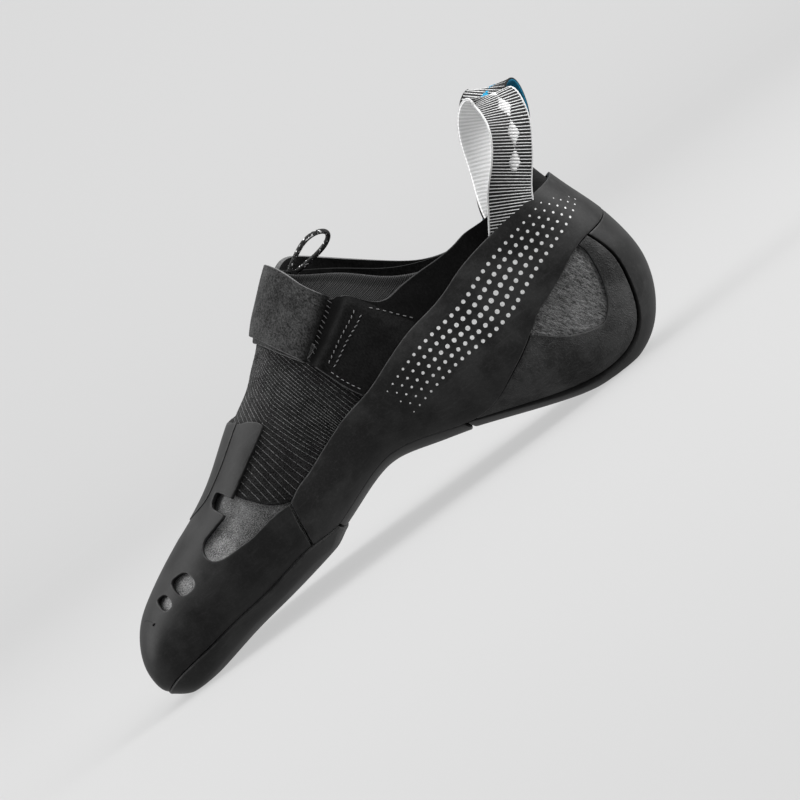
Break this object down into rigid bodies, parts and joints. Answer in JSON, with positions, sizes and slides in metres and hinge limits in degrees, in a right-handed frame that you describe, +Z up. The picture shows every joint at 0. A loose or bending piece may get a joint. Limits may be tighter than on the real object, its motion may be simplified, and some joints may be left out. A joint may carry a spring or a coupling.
{
  "type": "climbing shoe",
  "caption": "Down-turned rock climbing shoe for the right foot: hollow fabric upper, knitted cuff, rubber toe, band, heel and half sole, pull-back strap and webbing pull loops.",
  "frame": {"origin": "the heel's flat spot, where the heel strip rests on the floor", "axes": "-X to the toe, +X to the heel, -Y to the foot's inner (medial) side, +Z up from the floor"},
  "size_m": [0.2492, 0.0849, 0.1196],
  "materials": {
    "microfibre": "black microfibre and knit",
    "knit": "dark ribbed knit",
    "insole_board": "grey lining",
    "toe_rubber": "matte charcoal rubber",
    "band_rubber": "matte charcoal rubber",
    "heel_rubber": "finely stippled black rubber",
    "sole_rubber": "matte black rubber",
    "strap_fabric": "brushed charcoal strap",
    "webbing": "woven webbing",
    "cord": "braided cord"
  },
  "bodies": {
    "root": {"upper": "microfibre", "tongue": "knit", "insole": "insole_board", "toe_rubber": "toe_rubber", "tension_band": "band_rubber", "heel_cup_medial": "heel_rubber", "heel_cup_lateral": "heel_rubber", "heel_strip": "sole_rubber", "outsole": "sole_rubber", "arch_rubber": "sole_rubber", "strap": "strap_fabric", "slot_tab": "microfibre", "pull_loop_medial": "webbing", "pull_loop_lateral": "webbing", "tongue_loop": "cord"}
  },
  "joints": []
}
